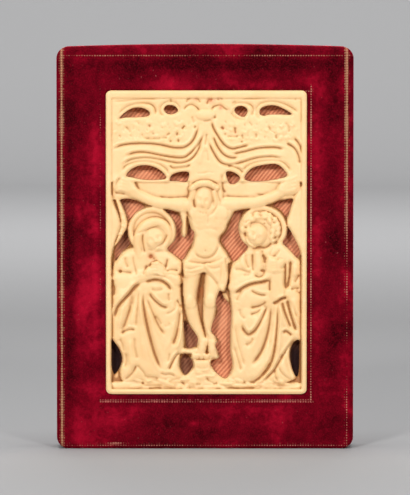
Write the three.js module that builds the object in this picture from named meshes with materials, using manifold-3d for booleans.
// Ivory plaque in a velvet-covered board
//
// A pierced and carved ivory plaque stands in the window of a board covered with velvet. A ribbed cloth
// lies behind its openings. Units are millimetres, +Z is up, and the carved face looks along -Y. The
// origin is in the middle of the board's underside.

import * as THREE from 'three';
import { mergeVertices } from 'three/addons/utils/BufferGeometryUtils.js';
import Module from 'manifold-3d';

const wasm = await Module();
wasm.setup();

// Driving sizes of the board, its window and what lies in it
const BOARD = { width: 89, height: 120.6, depth: 17, corner: 3.5, edge: 1.8, backEdge: 1.5, crown: 0.7 };
const PLAQUE = { width: 60.2, height: 91, corner: 1.6, border: 5.3, proud: 0.4 };
const CLOTH = { width: 60.4, height: 91.2, thickness: 0.6 };
const CLEARANCE = 0.4;
const LAYER_GAP = 0.3;
const WINDOW_LIP = 1.2;
const PLAQUE_RIGHT_OF_MIDDLE = 0.4;
const PLAQUE_ABOVE_BASE = 16.5;

// Levels of the relief above the plaque's back
const LEVEL = { background: 2.6, lowest: 1.8, highest: 6.0 };

// Widths of the flat border on each side
const BORDER = { left: 1.7, right: 1.6, bottom: 1.4, top: 2.3 };

// How closely the facets follow the relief, and how finely curves are stepped
const SURFACE_TOLERANCE = 0.16;
const GRID_SPACING = 0.3;
const MARGIN = 0.6;
const WEAR_PASSES = 4;
const CURVE_STEPS = 4;
const OPENING_STEPS = 2;
const HALO_STEPS = 12;
const REFINE_SHARE = 0.7;
const CORNER_STEPS = 4;
const TOP_STEPS = 8;
const ROUNDING_STEPS = 3;

// The share of a fold's length over which each end fades, and how steeply its sides fall
const FOLD_FADE = 0.16;
const FOLD_STEEPNESS = 1.6;

// Places on the plaque are [right of its middle, above its lower edge]. A mass fills an outline: its rim
// stands at one level and it rises by its crown over the width of its edge. A bar is a rounded stroke with
// half-widths and tops at its points. A swelling is an egg-shaped form with its top, the fall to its rim and
// its lean to the left in degrees. A fold is a groove with a half-width and a depth.

const CANOPY = {
  panel: { outline: [[-28.6, 63.6], [28.7, 63.6], [28.7, 89], [-28.6, 89]], rim: 4.7, edge: 0.6,
    crown: 0.35, smooth: false },
  archFolds: [
    { line: [[-28.2, 73.2], [-25.5, 74.6], [-20.5, 75.1], [-14.5, 74.8], [-9.5, 73.8], [-6, 74.1],
      [-3.8, 76.2], [-2.1, 80.8]], width: 0.7, depth: 0.45 },
    { line: [[-24.2, 69.6], [-18, 70.9], [-10.2, 69.6], [-7.6, 69.3], [-4.8, 70.3], [-1.4, 75.8]],
      width: 0.7, depth: 0.45 },
    { line: [[1.5, 82], [2.2, 79.6], [4, 76.3], [6.6, 73.6], [12, 73], [20.4, 74]], width: 0.7,
      depth: 0.45 },
    { line: [[0.4, 76.2], [2.2, 72.4], [4.2, 69.4], [7, 68.7], [10.5, 69.5], [15, 70.7], [19.5, 71.2],
      [23.2, 70.6]], width: 0.7, depth: 0.45 },
  ],
  finial: { centre: [-0.4, 83.6], radii: [2.6, 1.5], top: 5.6, fall: 0.6 },
  foliageRows: [
    { from: -27, to: -5, leaves: 6, height: 78.6, lift: 0.6 },
    { from: 5, to: 26.5, leaves: 6, height: 78.7, lift: 0.6 },
  ],
  leaf: { radii: [1.6, 1.7], top: 5.55, fall: 0.6 },
};

const CROSS = {
  beam: { outline: [[-29.4, 58.2], [29.4, 58.2], [29.4, 63.9], [-29.4, 63.9]], rim: 3.6, edge: 0.6,
    crown: 0.3, smooth: false },
  upright: { outline: [[-5.2, 57], [4.9, 57], [4.9, 67], [1.5, 70.5], [-0.4, 73.2], [-2, 70.5],
    [-5.2, 67]], rim: 4.1, edge: 0.6, crown: 0.3, smooth: false },
  stem: { outline: [[-4.6, 4], [2, 4], [2, 57], [-4.6, 57]], rim: 2.9, edge: 0.4, crown: 0.2,
    smooth: false },
};

const CENTRAL_FIGURE = {
  arms: [
    { line: [[-24.2, 61.6], [-20, 59.6], [-15.5, 57.5], [-11, 56.8], [-6, 56.4]], radii: [1.5, 1.75,
      1.6, 1.85, 2.6], tops: [4.9, 4.9, 5, 5.2, 5.3] },
    { line: [[24, 61.8], [20.5, 59.4], [15.5, 57.4], [11, 57], [6, 56.6]], radii: [1.5, 1.75, 1.65,
      1.85, 2.6], tops: [4.9, 4.9, 5, 5.2, 5.3] },
  ],
  hands: [
    { outline: [[-24.4, 65.2], [-22.2, 64.2], [-20.6, 62], [-19.3, 60.2], [-22, 60], [-27.4, 60.8],
      [-28.2, 63]], rim: 4.4, edge: 1.2, crown: 0.8 },
    { outline: [[24.4, 65.4], [22.2, 63.2], [21, 61.2], [23.6, 59.6], [27.6, 60.4], [28.2, 63],
      [27.4, 66.4]], rim: 4.4, edge: 1.2, crown: 0.8 },
  ],
  torso: { outline: [[-7.6, 57.4], [-6, 54], [-4.9, 50.8], [-3.9, 48], [-3.7, 46], [-4.4, 44],
    [-5.8, 41.6], [-6.6, 39], [6.4, 39], [6.4, 41.6], [4.6, 44.4], [3.9, 46.2], [4.8, 48.4],
    [6.6, 51.4], [8.4, 54.8], [8.6, 57.6], [0.5, 59]], rim: 4.1, edge: 2.6, crown: 1.1 },
  chest: { centre: [0.6, 52.2], radii: [5.6, 5.4], top: 5.6, fall: 0.9 },
  belly: { centre: [-0.1, 44.4], radii: [3.9, 3.8], top: 5.5, fall: 0.9 },
  strut: { line: [[-6.9, 54.6], [-6.8, 48.2]], radii: [0.9, 0.85], tops: [4.4, 4.2], roundness: 0.6 },
  legs: [
    { line: [[-4, 37.5], [-4.7, 32], [-4.7, 27.4], [-3.8, 22.6], [-1.6, 17.4], [-1.4, 12]], radii: [2.7,
      2.3, 2, 1.85, 1.5, 1.4], tops: [5.3, 5.5, 5.7, 5.2, 4.9, 4.8], roundness: 0.85 },
    { line: [[2.6, 37], [1.9, 32], [1.2, 27.6], [0.7, 23], [1, 19], [1.9, 12]], radii: [2.9, 2.5, 2.1,
      1.75, 1.45, 1.5], tops: [5.4, 5.7, 5.9, 5.4, 5.2, 5.1], roundness: 0.85 },
  ],
  thighSlot: { line: [[-1.2, 36.4], [-1.8, 32.6], [-2.4, 28.8], [-2.4, 26.2]], width: 0.6, depth: 1.8 },
  footRest: { outline: [[-4.6, 7.6], [1.6, 7.6], [3.8, 10.4], [3.4, 12.2], [-4.4, 12.2]], rim: 4.3,
    edge: 0.6, crown: 0.4 },
  link: { line: [[-7.4, 12.8], [-3.2, 12.9]], radii: [0.85, 0.85], tops: [4.2, 4.3], roundness: 0.6 },
  loincloth: { outline: [[-6.9, 39.6], [-2.5, 38.9], [0.6, 38.9], [4, 40.2], [6.2, 41.4], [6.5, 38],
    [6.3, 33.6], [5.5, 30.9], [4.2, 31], [3.4, 35], [0.2, 36.8], [-3.2, 35.4], [-6.4, 35.8]], rim: 5.2,
    edge: 1.2, crown: 0.6 },
  clothFolds: [
    { line: [[-6.4, 37.6], [-3, 37.8], [0.2, 38.4], [4.4, 38.2]], width: 0.6, depth: 0.45 },
    { line: [[-0.6, 37.5], [0.6, 35], [3.4, 33]], width: 0.5, depth: 0.4 },
  ],
  hair: { centre: [-0.9, 58.8], radii: [4.2, 5.4], top: 5.3, fall: 1.5, lean: -8 },
  face: { centre: [-0.9, 58.3], radii: [2.9, 4.3], top: 6, fall: 1.2, lean: -8 },
  crown: { line: [[-4.4, 61.6], [-2.2, 63.1], [0.6, 63.3], [3.2, 61.9]], radii: [0.8, 0.95, 0.95, 0.8],
    tops: [5.6, 5.9, 5.9, 5.6] },
};

const LEFT_MOURNER = {
  halo: { centre: [-16.3, 48.9], radius: 7.25, top: 4.1, fall: 0.25, rimWidth: 0.75, rimTop: 4.6 },
  robe: { outline: [[-27.6, 39.6], [-25.6, 42.2], [-22, 44], [-16, 44.6], [-11.4, 43.2], [-8.8, 41],
    [-7.3, 39], [-7.6, 33], [-7.2, 27], [-6.9, 22], [-6.7, 14.5], [-7.8, 12], [-8, 8], [-6.8, 5],
    [-10, 3.6], [-20, 3.6], [-25, 3.6], [-26, 7], [-25.2, 10], [-26.2, 13.6], [-28.4, 16.8],
    [-28.4, 28], [-28.2, 36]], rim: 3.9, edge: 3.2, crown: 1.2 },
  veil: { centre: [-15.9, 47], radii: [5.5, 5.9], top: 5.5, fall: 1.2, lean: 12 },
  veilFold: { line: [[-19.9, 41.6], [-20.7, 45], [-20, 48.3], [-17.8, 50.9], [-14.8, 51.6],
    [-12.2, 50.2], [-11.1, 47.6], [-12.6, 44.6]], radii: [0.9, 1, 1.1, 1.1, 1.1, 1, 0.9, 0.8],
    tops: [5.1, 5.4, 5.6, 5.8, 5.8, 5.6, 5.4, 5.2] },
  face: { centre: [-15.6, 46.7], radii: [2.8, 3.5], top: 6, fall: 0.7, lean: 14 },
  veilEdge: { line: [[-18.7, 43.4], [-19, 46.8], [-17.4, 49.7], [-14.6, 50.2], [-12.6, 48.2],
    [-12.7, 45]], width: 0.6, depth: 0.6 },
  arms: [
    { line: [[-26.4, 33.6], [-23, 34], [-19.6, 35.4], [-17, 36.8]], radii: [1.9, 1.9, 1.6, 1.4],
      tops: [4.9, 5.2, 5.4, 5.6], roundness: 0.5 },
    { line: [[-8.6, 34.2], [-10.2, 36.2], [-12.6, 37]], radii: [1.6, 1.5, 1.3], tops: [5, 5.3, 5.5],
      roundness: 0.5 },
  ],
  hands: { line: [[-17.4, 36.6], [-15.2, 37.4], [-13.4, 37.4]], radii: [1.7, 1.9, 1.5], tops: [5.7, 5.9,
    5.6] },
  folds: [
    { line: [[-19.6, 33.6], [-23.6, 29.6], [-26.4, 26.4], [-27.7, 23]], width: 0.8, depth: 1 },
    { line: [[-19.4, 33.6], [-15.4, 34.4], [-11.8, 33.2], [-9.9, 30.2]], width: 0.6, depth: 0.7 },
    { line: [[-17.4, 31.2], [-15.4, 27.9], [-11.3, 25.8]], width: 0.6, depth: 0.6 },
    { line: [[-22.4, 30.6], [-23.8, 23.4], [-25.8, 17]], width: 0.9, depth: 0.9 },
    { line: [[-20.2, 31.2], [-20.8, 24.6], [-21.2, 19.6]], width: 0.7, depth: 0.5 },
    { line: [[-18.8, 30.6], [-17.9, 21.4], [-15.6, 12], [-12.9, 6.2]], width: 0.8, depth: 1 },
    { line: [[-18, 28.6], [-14.8, 21.2], [-11.9, 16.8]], width: 0.7, depth: 0.6 },
    { line: [[-8.2, 25.2], [-8.8, 19.2], [-10.4, 13.8]], width: 0.8, depth: 0.8 },
    { line: [[-25.2, 17.2], [-24.5, 9], [-24.8, 6.4]], width: 0.7, depth: 0.6 },
    { line: [[-7.6, 12.4], [-10.6, 8.4], [-11.8, 6.2]], width: 0.6, depth: 0.6 },
    { line: [[-20.9, 8.8], [-22.2, 6.4], [-25, 3.8]], width: 0.6, depth: 0.6 },
  ],
};

const RIGHT_MOURNER = {
  halo: { centre: [16.9, 49.2], radius: 7.3, top: 4.1, fall: 0.25, rimWidth: 0.75, rimTop: 4.6 },
  robe: { outline: [[8, 39.4], [10, 41.2], [12.6, 43.6], [16, 44.6], [20, 45.6], [23.2, 45.2],
    [26, 42.6], [27.8, 40.4], [28.4, 38], [28.4, 28], [28.4, 16.6], [26.2, 15.4], [25, 12.4], [25.6, 8],
    [26.8, 4.6], [22, 3], [12, 3], [7, 4.4], [7.8, 8], [7.2, 13], [7.2, 20], [7.5, 25], [6.9, 31],
    [6.8, 35.4]], rim: 3.9, edge: 3.2, crown: 1.2 },
  hair: { centre: [16.4, 49.4], radii: [5.6, 5.2], top: 5.2, fall: 1, lean: -20 },
  hairRoll: { line: [[11.3, 45.4], [10.7, 48], [11.5, 51.2], [13.8, 53.6], [17, 54.3], [20.2, 53],
    [21.9, 50.2], [21.4, 47]], radii: [0.9, 1.1, 1.3, 1.4, 1.4, 1.4, 1.3, 1.1], tops: [5.3, 5.5, 5.7,
    5.8, 5.8, 5.8, 5.6, 5.4] },
  face: { centre: [15, 47.6], radii: [3.1, 3.9], top: 6, fall: 0.7, lean: -28 },
  hairline: { line: [[11.7, 45.2], [11.8, 48.4], [13.2, 51], [16.2, 51.5], [18.8, 49.8], [19.5, 46.6]],
    width: 0.7, depth: 0.7 },
  sleeves: [
    { line: [[11.6, 42], [12.4, 39], [14.8, 37.2]], radii: [2, 2.1, 1.8], tops: [5.1, 5.3, 5.5],
      roundness: 0.5 },
    { line: [[15.4, 41.8], [15.6, 39.6], [15.9, 37.4]], radii: [1.3, 1.3, 1.2], tops: [5.5, 5.7, 5.7],
      roundness: 0.5 },
    { line: [[8.6, 31.6], [12, 33.6], [16, 34.9], [19.4, 35.6]], radii: [1.6, 1.7, 1.5, 1.2],
      tops: [5.1, 5.4, 5.6, 5.6], roundness: 0.5 },
  ],
  hand: { outline: [[18.2, 41], [20.4, 41.2], [23.8, 40], [24, 38], [23.4, 36.6], [21, 36],
    [18.2, 36.8]], rim: 5.3, edge: 1, crown: 0.6 },
  book: { outline: [[19.2, 28.8], [23.5, 29], [23.7, 36.6], [19.4, 36.4]], rim: 5.1, edge: 0.6,
    crown: 0.5, smooth: false },
  folds: [
    { line: [[8, 29.8], [12.2, 32.4], [16.6, 33.6], [19.2, 34.3]], width: 0.6, depth: 0.9 },
    { line: [[23.8, 39.6], [23.8, 36], [23.9, 31.4]], width: 0.6, depth: 0.9 },
    { line: [[25.4, 40.4], [24.7, 33.8], [24.1, 31.4]], width: 0.7, depth: 1 },
    { line: [[20.2, 27.2], [21.6, 28.1], [24.2, 28.8]], width: 0.6, depth: 1.1 },
    { line: [[24.2, 28.8], [25.4, 23.4], [27.3, 18.8]], width: 0.8, depth: 1.1 },
    { line: [[13, 25.9], [16.8, 26.8], [18.3, 28]], width: 0.7, depth: 0.7 },
    { line: [[10.2, 21.6], [12.4, 17.9], [15.8, 20.8], [18.4, 26.8]], width: 0.8, depth: 1 },
    { line: [[8.4, 22], [9.8, 13.2], [11.6, 7.8]], width: 0.7, depth: 0.7 },
    { line: [[19, 27], [17.5, 17.2], [13.4, 8.2]], width: 0.9, depth: 1 },
    { line: [[21.2, 27.4], [20.5, 15], [17.8, 7], [13.2, 3.2], [10.4, 3.7]], width: 0.8, depth: 1 },
    { line: [[26.9, 17], [23.8, 12.4], [20, 6.4], [16.8, 3.6]], width: 0.6, depth: 0.7 },
    { line: [[24, 13.2], [24.3, 9], [26.4, 3.4]], width: 0.6, depth: 0.5 },
  ],
};

const SIDE_SWELLINGS = [
  { outline: [[-28.7, 60.4], [-26.8, 53.8], [-26.5, 51.2], [-27.1, 48.4], [-28.2, 44.2], [-26.6, 45.2],
    [-24.4, 48.4], [-23.7, 50.6], [-24, 53.4], [-25.8, 58.4]], rim: 4.1, edge: 0.5, crown: 0.3 },
  { outline: [[-29.2, 61], [-27.6, 57], [-26.2, 53.6], [-25.7, 51], [-26.3, 48.4], [-27.4, 45.2],
    [-28.4, 41], [-29.4, 38]], rim: 4.5, edge: 1, crown: 0.7 },
  { outline: [[29.6, 61.5], [27, 60.2], [25.6, 57.6], [24.5, 54.2], [24.1, 51.2], [25, 48.6],
    [26.8, 45.4], [28.4, 41.6], [29.6, 39]], rim: 4.5, edge: 1.6, crown: 0.7 },
];

const GROUND = {
  bank: { outline: [[-29.6, 0.6], [29.6, 0.6], [29.6, 3.2], [22, 3.4], [12, 3.6], [7.4, 5.4], [2, 8.4],
    [-3, 8.6], [-6.6, 5.8], [-14, 4.4], [-29.6, 3.4]], rim: 4.1, edge: 1.2, crown: 0.5, smooth: false },
  stones: { from: -18, to: 20, count: 9, radii: [2.2, 0.9], top: 4.9, fall: 0.6, height: 2.8, lift: 0.8,
    lean: 7 },
};

// Openings cut right through the plaque
const OPENINGS = {
  topLeftLens: [[-26.1, 82.6], [-24, 84.7], [-21.4, 85.9], [-18.8, 85.7], [-17, 84.5], [-17.5, 83.3],
    [-20.5, 83], [-24.2, 82.9]],
  topLeftRound: [[-12.7, 85.3], [-11.9, 86.5], [-10.2, 86.6], [-8.9, 85.9], [-8.5, 84.8], [-9.8, 84],
    [-11.6, 84]],
  topRightRound: [[8.4, 84.9], [9, 86.1], [10.6, 86.4], [12, 85.7], [12.3, 84.5], [11.3, 83.1],
    [9.6, 83.6]],
  topRightLens: [[15.9, 84.2], [16.5, 85.8], [19, 86.6], [21.8, 86.2], [25.6, 83.9], [22, 83.8],
    [19, 83.8], [17, 83.4]],
  archLeftLarge: [[-24, 65.5], [-22.4, 67.5], [-19.6, 68.6], [-16.4, 68.4], [-13.6, 67], [-12, 64.8],
    [-14.5, 64.2], [-18.4, 64.2], [-22, 64.9]],
  archLeftSmall: [[-11, 64], [-10.2, 65.8], [-7.6, 66.7], [-5.3, 66.5], [-5.4, 64.6], [-6.2, 63.5],
    [-8.5, 63.8]],
  archRightSmall: [[5.9, 66.4], [7.4, 66.8], [9.4, 65.8], [10.1, 64.5], [8.6, 63.1], [6.8, 63.3]],
  archRightLarge: [[11.4, 64.9], [13.2, 67.4], [16.2, 68.6], [20.8, 69], [23.2, 67.4], [24.1, 65.4],
    [21, 64.4], [17, 63.8], [12.9, 63.8]],
  sideLeftUpper: [[-25.7, 58.2], [-23.6, 58.6], [-21.4, 58], [-18.6, 56.1], [-21.2, 54.4],
    [-23.3, 51.8], [-24.2, 54.4], [-25.4, 57]],
  sideLeftLower: [[-24, 49.2], [-23.4, 46.8], [-23, 44.6], [-25.2, 42.7], [-27.2, 39.9], [-27.5, 42.8],
    [-25.9, 46]],
  sideRightUpper: [[20, 56.5], [22.4, 57.9], [25.8, 58.6], [25.5, 56.6], [24.1, 52.8], [22.4, 55]],
  sideRightLower: [[24.6, 49.8], [26.3, 46.9], [28.1, 42.8], [27.4, 40.7], [25.2, 43], [22.9, 45.5],
    [24.1, 47.4]],
  besideHaloLeft: [[-12.4, 55.2], [-9.6, 54.6], [-8.1, 53.2], [-7.3, 51.2], [-7.7, 48.4], [-6.7, 47],
    [-5.7, 48.2], [-5.2, 51], [-4.5, 49.4], [-3.7, 48.6], [-4.1, 45.6], [-5.6, 42.8], [-7, 40.2],
    [-9.2, 41.4], [-11.7, 43.5], [-9.5, 46.1], [-9, 49.4], [-10.1, 52.6]],
  besideHaloRight: [[8.5, 54.3], [11.1, 54.9], [10, 52.4], [9.6, 49.4], [10.6, 46.2], [12.5, 44],
    [10.4, 41.4], [8.1, 39.6], [6.4, 42.6], [4.5, 46], [6.4, 49.2]],
  besideShinLeft: [[-6.4, 21.8], [-4.4, 19.6], [-2.6, 16.8], [-3.2, 14.1], [-5.8, 13.6], [-6.3, 16],
    [-6.7, 19.6]],
  besideFootRestLeft: [[-6.4, 12], [-4.4, 10.1], [-4.1, 8], [-6.3, 5.5], [-7.8, 8], [-7.5, 10.6]],
  besideLegsRight: [[4.1, 31], [5.4, 28.6], [6.9, 26.8], [7.4, 22.6], [7.1, 17.4], [7.2, 12.4],
    [7.7, 8.8], [6, 4.5], [2.6, 6.6], [1.3, 9.6], [3.9, 11], [2.7, 14.4], [3.6, 16.2], [1.5, 18.6],
    [2, 21.6], [3.4, 24.4], [2.8, 27.4]],
  footLeft: [[-28.3, 16.2], [-26.4, 13.6], [-25.3, 10.6], [-26.2, 7.4], [-27.8, 5.7], [-28.5, 8.6],
    [-28.5, 13]],
  footRight: [[26.3, 15.4], [27.9, 16], [28, 11.6], [27.8, 6.4], [27, 4.9], [25.7, 7.8], [25.1, 12]],
};

// Smooth lines through a few points

function smoothLine(points, steps = CURVE_STEPS) {
  const vectors = points.map(([u, v]) => new THREE.Vector2(u, v));
  return new THREE.SplineCurve(vectors).getPoints((points.length - 1) * steps).map((p) => [p.x, p.y]);
}

function smoothLoop(points, steps = OPENING_STEPS) {
  const vectors = points.map(([u, v]) => new THREE.Vector3(u, v, 0));
  const curve = new THREE.CatmullRomCurve3(vectors, true, 'catmullrom', 0.5);
  return curve.getPoints(points.length * steps).slice(0, -1).map((p) => [p.x, p.y]);
}

// The relief as heights on a grid that reaches a little past the plaque's edges

class Relief {
  constructor(width, height, margin, spacing, level) {
    this.across = Math.round((width + 2 * margin) / spacing) + 1;
    this.up = Math.round((height + 2 * margin) / spacing) + 1;
    this.low = [-width / 2 - margin, -margin];
    this.step = [(width + 2 * margin) / (this.across - 1), (height + 2 * margin) / (this.up - 1)];
    this.heights = new Float64Array(this.across * this.up).fill(level);
  }

  // Calls change(index, u, v) for each grid point within reach of the points' box
  eachNear(points, reach, change) {
    const range = [0, 1].map((axis) => {
      const values = points.map((p) => p[axis]);
      const from = Math.ceil((Math.min(...values) - reach - this.low[axis]) / this.step[axis]);
      const to = Math.floor((Math.max(...values) + reach - this.low[axis]) / this.step[axis]);
      return [Math.max(from, 0), Math.min(to, [this.across, this.up][axis] - 1)];
    });
    for (let j = range[1][0]; j <= range[1][1]; j += 1) {
      for (let i = range[0][0]; i <= range[0][1]; i += 1) {
        change(j * this.across + i, this.low[0] + i * this.step[0], this.low[1] + j * this.step[1]);
      }
    }
  }

  raise(index, level) {
    this.heights[index] = Math.max(this.heights[index], level);
  }

  mass({ outline, rim, edge, crown, smooth = true }) {
    const line = smooth ? smoothLoop(outline) : outline;
    this.eachNear(line, 0, (index, u, v) => {
      if (!contains(line, u, v)) return;
      const x = Math.min(nearest(line, u, v, true).distance / edge, 1);
      this.raise(index, rim + crown * Math.sqrt(1 - (1 - x) ** 2));
    });
  }

  bar({ line, radii, tops, roundness = 0.75 }) {
    const path = smoothLine(line);
    const widest = Math.max(...radii);
    this.eachNear(path, widest, (index, u, v) => {
      const { distance, along } = nearest(path, u, v);
      const radius = between(radii, along);
      if (distance >= radius) return;
      const fall = radius * roundness * (1 - Math.sqrt(1 - (distance / radius) ** 2));
      this.raise(index, between(tops, along) - fall);
    });
  }

  swelling({ centre, radii, top, fall, lean = 0 }) {
    const angle = THREE.MathUtils.degToRad(lean);
    this.eachNear([centre], Math.max(...radii), (index, u, v) => {
      const du = u - centre[0];
      const dv = v - centre[1];
      const x = (du * Math.cos(angle) + dv * Math.sin(angle)) / radii[0];
      const y = (dv * Math.cos(angle) - du * Math.sin(angle)) / radii[1];
      const q = x * x + y * y;
      if (q < 1) this.raise(index, top - fall * (1 - Math.sqrt(1 - q)));
    });
  }

  fold({ line, width, depth }) {
    const path = smoothLine(line);
    this.eachNear(path, width * 2, (index, u, v) => {
      const { distance, along } = nearest(path, u, v);
      const fade = THREE.MathUtils.smoothstep(Math.min(along, 1 - along), 0, FOLD_FADE);
      this.heights[index] -= depth * fade * Math.exp(-FOLD_STEEPNESS * (distance / width) ** 2);
    });
  }

  // Wears the edges soft: each pass takes a point halfway to the mean of its neighbours
  wear(passes) {
    const { across, up } = this;
    for (let pass = 0; pass < passes; pass += 1) {
      const old = this.heights.slice();
      for (let j = 1; j < up - 1; j += 1) {
        for (let i = 1; i < across - 1; i += 1) {
          const k = j * across + i;
          const around = old[k - 1] + old[k + 1] + old[k - across] + old[k + across];
          this.heights[k] = (old[k] + around / 4) / 2;
        }
      }
    }
  }
}

// The nearest place on a line: its distance, and how far along the line it lies, from 0 to 1
function nearest(line, u, v, closed = false) {
  let distance = Infinity;
  let along = 0;
  const last = closed ? line.length : line.length - 1;
  for (let k = 0; k < last; k += 1) {
    const [au, av] = line[k];
    const [bu, bv] = line[(k + 1) % line.length];
    const length = (bu - au) ** 2 + (bv - av) ** 2;
    const t = THREE.MathUtils.clamp(((u - au) * (bu - au) + (v - av) * (bv - av)) / length, 0, 1);
    const d = Math.hypot(u - au - t * (bu - au), v - av - t * (bv - av));
    if (d < distance) {
      distance = d;
      along = (k + t) / last;
    }
  }
  return { distance, along };
}

function contains(outline, u, v) {
  let inside = false;
  for (let k = 0; k < outline.length; k += 1) {
    const [au, av] = outline[k];
    const [bu, bv] = outline[(k + 1) % outline.length];
    if ((av > v) !== (bv > v) && u < ((bu - au) * (v - av)) / (bv - av) + au) inside = !inside;
  }
  return inside;
}

function between(values, along) {
  const place = along * (values.length - 1);
  const k = Math.min(Math.floor(place), values.length - 2);
  return THREE.MathUtils.lerp(values[k], values[k + 1], place - k);
}

// The carving, part by part

function carveCanopy(relief) {
  relief.mass(CANOPY.panel);
  CANOPY.archFolds.forEach((fold) => relief.fold(fold));
  for (const { from, to, leaves, height, lift } of CANOPY.foliageRows) {
    for (let k = 0; k < leaves; k += 1) {
      const centre = [from + ((to - from) * (k + 0.5)) / leaves, height + lift * (k % 2)];
      relief.swelling({ ...CANOPY.leaf, centre });
    }
  }
  relief.swelling(CANOPY.finial);
}

function carveGround(relief) {
  relief.mass(GROUND.bank);
  const { from, to, count, height, lift, lean, ...stone } = GROUND.stones;
  for (let k = 0; k < count; k += 1) {
    const centre = [from + ((to - from) * (k + 0.5)) / count, height + lift * (k % 2)];
    relief.swelling({ ...stone, centre, lean: k % 2 ? lean : -lean });
  }
}

function carveHalo(relief, { centre, radius, top, fall, rimWidth, rimTop }) {
  relief.swelling({ centre, radii: [radius, radius], top, fall });
  const line = [];
  for (let k = 0; k <= HALO_STEPS; k += 1) {
    const angle = (Math.PI * 2 * k) / HALO_STEPS;
    line.push([centre[0] + (radius - rimWidth) * Math.cos(angle),
      centre[1] + (radius - rimWidth) * Math.sin(angle)]);
  }
  relief.bar({ line, radii: [rimWidth, rimWidth], tops: [rimTop, rimTop] });
}

function carveLeftMourner(relief) {
  const { halo, robe, veil, veilFold, face, veilEdge, arms, folds, hands } = LEFT_MOURNER;
  carveHalo(relief, halo);
  relief.mass(robe);
  relief.swelling(veil);
  relief.bar(veilFold);
  relief.swelling(face);
  relief.fold(veilEdge);
  arms.forEach((arm) => relief.bar(arm));
  folds.forEach((fold) => relief.fold(fold));
  relief.bar(hands);
}

function carveRightMourner(relief) {
  const { halo, robe, hair, hairRoll, face, hairline, sleeves, book, hand, folds } = RIGHT_MOURNER;
  carveHalo(relief, halo);
  relief.mass(robe);
  relief.swelling(hair);
  relief.bar(hairRoll);
  relief.swelling(face);
  relief.fold(hairline);
  sleeves.forEach((sleeve) => relief.bar(sleeve));
  relief.mass(book);
  relief.mass(hand);
  folds.forEach((fold) => relief.fold(fold));
}

function carveCentralFigure(relief) {
  const { arms, hands, torso, chest, belly, strut, footRest, legs, thighSlot, link } = CENTRAL_FIGURE;
  arms.forEach((arm) => relief.bar(arm));
  hands.forEach((hand) => relief.mass(hand));
  relief.mass(torso);
  relief.swelling(chest);
  relief.swelling(belly);
  relief.bar(strut);
  relief.mass(footRest);
  legs.forEach((leg) => relief.bar(leg));
  relief.fold(thighSlot);
  relief.bar(link);
  const { loincloth, clothFolds, hair, face, crown } = CENTRAL_FIGURE;
  relief.mass(loincloth);
  clothFolds.forEach((fold) => relief.fold(fold));
  relief.swelling(hair);
  relief.swelling(face);
  relief.bar(crown);
}

// The flat border, which also fills the grid's margin, and a cut at the lowest and highest levels
function trimToBorder(relief) {
  const half = PLAQUE.width / 2;
  const wholeGrid = [relief.low, [-relief.low[0], PLAQUE.height + MARGIN]];
  relief.eachNear(wholeGrid, 0, (index, u, v) => {
    const inward = Math.min(half + u - BORDER.left, half - u - BORDER.right, v - BORDER.bottom,
      PLAQUE.height - v - BORDER.top);
    const carved = THREE.MathUtils.clamp(relief.heights[index], LEVEL.lowest, LEVEL.highest);
    relief.heights[index] = inward < 0 ? PLAQUE.border : carved;
  });
}

function carveRelief() {
  const relief = new Relief(PLAQUE.width, PLAQUE.height, MARGIN, GRID_SPACING, LEVEL.background);
  carveCanopy(relief);
  Object.values(CROSS).forEach((mass) => relief.mass(mass));
  carveGround(relief);
  SIDE_SWELLINGS.forEach((mass) => relief.mass(mass));
  carveLeftMourner(relief);
  carveRightMourner(relief);
  carveCentralFigure(relief);
  trimToBorder(relief);
  relief.wear(WEAR_PASSES);
  return relief;
}

// Facets over the grid: two at first, and each new grid point goes where a facet misses the relief most.
// The facets whose circumcircle holds the new point give way to facets that meet in it. Edge k of facet t
// runs from its corner k to the next one and has the number 3 t + k. Its twin is the same edge in the facet
// beyond.

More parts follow.
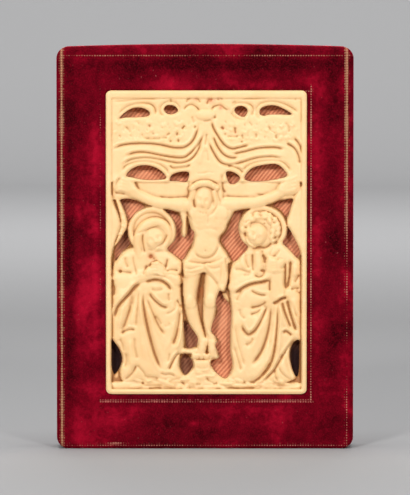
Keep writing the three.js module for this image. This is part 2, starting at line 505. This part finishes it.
class Facets {
  constructor(relief) {
    this.relief = relief;
    const right = relief.across - 1;
    const top = relief.up - 1;
    this.points = [[0, 0], [right, 0], [right, top], [0, top]];
    this.corners = [0, 1, 2, 0, 2, 3];
    this.twins = [-1, -1, 3, 2, -1, -1];
    this.misses = [this.worstMiss(0), this.worstMiss(1)];
  }

  heightAt([i, j]) {
    return this.relief.heights[j * this.relief.across + i];
  }

  cornersOf(facet) {
    return [0, 1, 2].map((k) => this.points[this.corners[3 * facet + k]]);
  }

  // The grid point where a facet lies furthest from the relief
  worstMiss(facet) {
    const [a, b, c] = this.cornersOf(facet);
    const levels = [a, b, c].map((p) => this.heightAt(p));
    const area = turn(a, b, c);
    const worst = { error: 0, point: a };
    for (let j = Math.min(a[1], b[1], c[1]); j <= Math.max(a[1], b[1], c[1]); j += 1) {
      for (let i = Math.min(a[0], b[0], c[0]); i <= Math.max(a[0], b[0], c[0]); i += 1) {
        const point = [i, j];
        const shares = [turn(b, c, point), turn(c, a, point), turn(a, b, point)];
        if (Math.min(...shares) < 0) continue;
        const level = (shares[0] * levels[0] + shares[1] * levels[1] + shares[2] * levels[2]) / area;
        const error = Math.abs(level - this.heightAt(point));
        if (error > worst.error) Object.assign(worst, { error, point });
      }
    }
    return worst;
  }

  circleHolds(facet, point) {
    const [a, b, c] = this.cornersOf(facet).map(([i, j]) => [i - point[0], j - point[1]]);
    const share = (p, q, r) => (p[0] ** 2 + p[1] ** 2) * (q[0] * r[1] - r[0] * q[1]);
    return share(a, b, c) + share(b, c, a) + share(c, a, b) > 0;
  }

  insert(point, start) {
    const cavity = [start];
    const facetBeyond = (edge) => (this.twins[edge] < 0 ? -1 : Math.floor(this.twins[edge] / 3));
    for (let n = 0; n < cavity.length; n += 1) {
      for (let k = 0; k < 3; k += 1) {
        const next = facetBeyond(3 * cavity[n] + k);
        if (next >= 0 && !cavity.includes(next) && this.circleHolds(next, point)) cavity.push(next);
      }
    }
    const rim = [];
    for (const facet of cavity) {
      for (let k = 0; k < 3; k += 1) {
        const edge = 3 * facet + k;
        if (cavity.includes(facetBeyond(edge))) continue;
        const from = this.corners[edge];
        const to = this.corners[3 * facet + ((k + 1) % 3)];
        const facing = turn(this.points[from], this.points[to], point) > 0;
        if (facing) rim.push({ from, to, twin: this.twins[edge] });
      }
    }
    this.points.push(point);
    const middle = this.points.length - 1;
    const next = this.misses.length - cavity.length;
    const made = rim.map((_, n) => (n < cavity.length ? cavity[n] : next + n));
    rim.forEach(({ from, to, twin }, n) => {
      const facet = made[n];
      [from, to, middle].forEach((corner, k) => {
        this.corners[3 * facet + k] = corner;
      });
      const after = rim.findIndex((edge) => edge.from === to);
      const before = rim.findIndex((edge) => edge.to === from);
      this.twins[3 * facet] = twin;
      this.twins[3 * facet + 1] = after < 0 ? -1 : 3 * made[after] + 2;
      this.twins[3 * facet + 2] = before < 0 ? -1 : 3 * made[before] + 1;
      if (twin >= 0) this.twins[twin] = 3 * facet;
    });
    made.forEach((facet) => {
      this.misses[facet] = this.worstMiss(facet);
    });
  }

  refine(tolerance) {
    for (;;) {
      const worst = Math.max(...this.misses.map(({ error }) => error));
      if (worst <= tolerance) return;
      const goal = Math.max(tolerance, worst * REFINE_SHARE);
      const all = this.misses.map((miss, facet) => ({ miss, facet }));
      const listed = all.filter(({ miss }) => miss.error > goal);
      listed.sort((a, b) => b.miss.error - a.miss.error);
      for (const { miss, facet } of listed) {
        if (this.misses[facet] === miss) this.insert(miss.point, facet);
      }
    }
  }
}

// Twice the area of a triangle, positive when its corners turn to the left
function turn(a, b, c) {
  return (b[0] - a[0]) * (c[1] - a[1]) - (b[1] - a[1]) * (c[0] - a[0]);
}

// A closed block under the relief's facets
function reliefBlock(relief, tolerance) {
  const facets = new Facets(relief);
  facets.refine(tolerance);
  const { low, step, across, up } = relief;
  const place = ([i, j], level) => [low[0] + i * step[0], low[1] + j * step[1], level];
  const positions = facets.points.flatMap((point) => place(point, facets.heightAt(point)));
  const triangles = [...facets.corners];
  const base = [[0, 0], [across - 1, 0], [across - 1, up - 1], [0, up - 1]].map((corner) => {
    positions.push(...place(corner, 0));
    return positions.length / 3 - 1;
  });
  const sides = [([, j]) => j === 0, ([i]) => i === across - 1, ([, j]) => j === up - 1,
    ([i]) => i === 0];
  sides.forEach((onSide, k) => {
    const edge = facets.points.map((_, n) => n).filter((n) => onSide(facets.points[n]));
    const along = (n) => facets.points[n][k % 2] * (k < 2 ? 1 : -1);
    edge.sort((a, b) => along(a) - along(b));
    for (let s = 0; s + 1 < edge.length; s += 1) triangles.push(base[k], edge[s + 1], edge[s]);
    triangles.push(base[k], base[(k + 1) % 4], edge[edge.length - 1]);
  });
  triangles.push(base[0], base[2], base[1], base[0], base[3], base[2]);
  return solidOf(positions, triangles);
}

// Closed solids and the geometry made from them

function solidOf(positions, triangles) {
  const mesh = new wasm.Mesh({
    numProp: 3,
    vertProperties: new Float32Array(positions),
    triVerts: new Uint32Array(triangles),
  });
  mesh.merge();
  return new wasm.Manifold(mesh);
}

function solidOfGeometry(geometry) {
  geometry.deleteAttribute('normal');
  geometry.deleteAttribute('uv');
  const merged = mergeVertices(geometry, 1e-4);
  return solidOf(merged.attributes.position.array, merged.index.array);
}

function geometryOf(solid) {
  const { vertProperties, triVerts } = solid.getMesh();
  const geometry = new THREE.BufferGeometry();
  geometry.setAttribute('position', new THREE.BufferAttribute(vertProperties, 3));
  geometry.setIndex(new THREE.BufferAttribute(triVerts, 1));
  geometry.computeVertexNormals();
  return geometry;
}

function shapeOf(points) {
  return new THREE.Shape(points.map(([u, v]) => new THREE.Vector2(u, v)));
}

// A rounded rectangle about the middle of its width, from its lower edge up
function roundedRectangle(width, height, corner) {
  const shape = new THREE.Shape();
  const right = width / 2 - corner;
  shape.absarc(right, corner, corner, -Math.PI / 2, 0);
  shape.absarc(right, height - corner, corner, 0, Math.PI / 2);
  shape.absarc(-right, height - corner, corner, Math.PI / 2, Math.PI);
  shape.absarc(-right, corner, corner, Math.PI, Math.PI * 1.5);
  return shape;
}

// The plaque: the relief block cut to the plaque's outline and pierced

function makePlaque() {
  const block = reliefBlock(carveRelief(), SURFACE_TOLERANCE);
  const outline = new THREE.ExtrudeGeometry(roundedRectangle(PLAQUE.width, PLAQUE.height, PLAQUE.corner),
    { depth: LEVEL.highest * 2, bevelEnabled: false, curveSegments: CORNER_STEPS });
  outline.translate(0, 0, -LEVEL.highest / 2);
  const shapes = Object.values(OPENINGS).map((points) => shapeOf(smoothLoop(points)));
  const cutters = new THREE.ExtrudeGeometry(shapes, { depth: LEVEL.highest * 2, bevelEnabled: false });
  cutters.translate(0, 0, -LEVEL.highest / 2);
  const plate = block.intersect(solidOfGeometry(outline));
  return geometryOf(plate.subtract(solidOfGeometry(cutters)));
}

// The board: rings of one outline after another, from its back round its edges into the window's floor

function ring({ width, height, corner, low, level, crown = 0 }) {
  const points = [];
  const centres = [[1, 1], [-1, 1], [-1, -1], [1, -1]];
  centres.forEach(([right, up], quarter) => {
    const cu = right * (width / 2 - corner);
    const cv = low + height / 2 + up * (height / 2 - corner);
    for (let k = 0; k <= CORNER_STEPS; k += 1) {
      const angle = (Math.PI / 2) * (quarter + k / CORNER_STEPS);
      points.push([cu + corner * Math.cos(angle), cv + corner * Math.sin(angle), level]);
    }
    if (quarter > 0) return;
    for (let k = 1; k < TOP_STEPS; k += 1) {
      const s = 1 - (2 * k) / TOP_STEPS;
      points.push([s * (width / 2 - corner), low + height + crown * (1 - s * s), level]);
    }
  });
  return points;
}

// The points of a quarter round, as [inset, level] pairs, for an edge of the given radius
function quarterRound(radius, count, place) {
  return Array.from({ length: count + 1 }, (_, k) => place((Math.PI / 2) * (k / count), radius));
}

function makeBoard() {
  const { width, height, depth, corner, edge, backEdge, crown } = BOARD;
  const outer = (inset, level) => ring({
    width: width - 2 * inset,
    height: height - 2 * inset,
    corner: corner - inset * 0.9,
    low: inset,
    level,
    crown,
  });
  const windowWidth = PLAQUE.width + 2 * CLEARANCE;
  const windowHeight = PLAQUE.height + 2 * CLEARANCE;
  const inner = (outset, level) => ring({
    width: windowWidth + 2 * outset,
    height: windowHeight + 2 * outset,
    corner: PLAQUE.corner + outset,
    low: PLAQUE_ABOVE_BASE - CLEARANCE - outset,
    level,
  }).map(([u, v, w]) => [u + PLAQUE_RIGHT_OF_MIDDLE, v, w]);
  const pocket = depth - PLAQUE.border + PLAQUE.proud - CLOTH.thickness - 2 * LAYER_GAP;
  const rings = [
    ...quarterRound(backEdge, ROUNDING_STEPS, (a, r) => outer(r * (1 - Math.sin(a)),
      r * (1 - Math.cos(a)))),
    ...quarterRound(edge, ROUNDING_STEPS, (a, r) => outer(r * (1 - Math.cos(a)),
      depth - r * (1 - Math.sin(a)))),
    ...quarterRound(WINDOW_LIP, ROUNDING_STEPS, (a, r) => inner(r * (1 - Math.sin(a)),
      depth - r * (1 - Math.cos(a)))),
    inner(0, pocket),
  ];
  return loft(rings);
}

function loft(rings) {
  const count = rings[0].length;
  const positions = rings.flat(2);
  const triangles = [];
  for (let r = 0; r + 1 < rings.length; r += 1) {
    for (let k = 0; k < count; k += 1) {
      const a = r * count + k;
      const b = r * count + ((k + 1) % count);
      triangles.push(a, b, b + count, a, b + count, a + count);
    }
  }
  const cap = (r, flip) => {
    const outline = rings[r].map(([u, v]) => new THREE.Vector2(u, v));
    for (const [a, b, c] of THREE.ShapeUtils.triangulateShape(outline, [])) {
      const face = flip ? [a, c, b] : [a, b, c];
      triangles.push(...face.map((k) => r * count + k));
    }
  };
  cap(0, true);
  cap(rings.length - 1, false);
  return geometryOf(solidOf(positions, triangles));
}

// The cloth: one layer that fills the back of the pocket

function makeCloth() {
  const shape = roundedRectangle(CLOTH.width, CLOTH.height, PLAQUE.corner);
  const solid = solidOfGeometry(new THREE.ExtrudeGeometry(shape, {
    depth: CLOTH.thickness,
    bevelEnabled: false,
    curveSegments: CORNER_STEPS,
  }));
  return geometryOf(solid);
}

function meshOf(name, geometry, color, roughness) {
  const mesh = new THREE.Mesh(geometry, new THREE.MeshStandardMaterial({ color, roughness,
    metalness: 0 }));
  mesh.name = name;
  return mesh;
}

// The pieces in the board's own frame, with the board's back at level 0 and its lower edge at height 0
const plaqueBack = BOARD.depth + PLAQUE.proud - PLAQUE.border;
const board = meshOf('velvet_mount', makeBoard(), 0x7c0f28, 0.9);
const plaque = meshOf('ivory_plaque', makePlaque(), 0xf0d9b0, 0.45);
plaque.position.set(PLAQUE_RIGHT_OF_MIDDLE, PLAQUE_ABOVE_BASE, plaqueBack);
const cloth = meshOf('backing_cloth', makeCloth(), 0xb8755c, 0.9);
cloth.position.set(PLAQUE_RIGHT_OF_MIDDLE, PLAQUE_ABOVE_BASE - (CLOTH.height - PLAQUE.height) / 2,
  plaqueBack - LAYER_GAP - CLOTH.thickness);

// Stood upright with the carved face towards -Y, and its depth centred on the origin
const upright = new THREE.Group();
upright.rotation.x = Math.PI / 2;
upright.add(board, plaque, cloth);
upright.position.y = -new THREE.Box3().setFromObject(upright, true).getCenter(new THREE.Vector3()).y;

const part = new THREE.Group();
part.name = 'ivory_plaque_in_velvet_mount';
part.add(upright);

export default part;
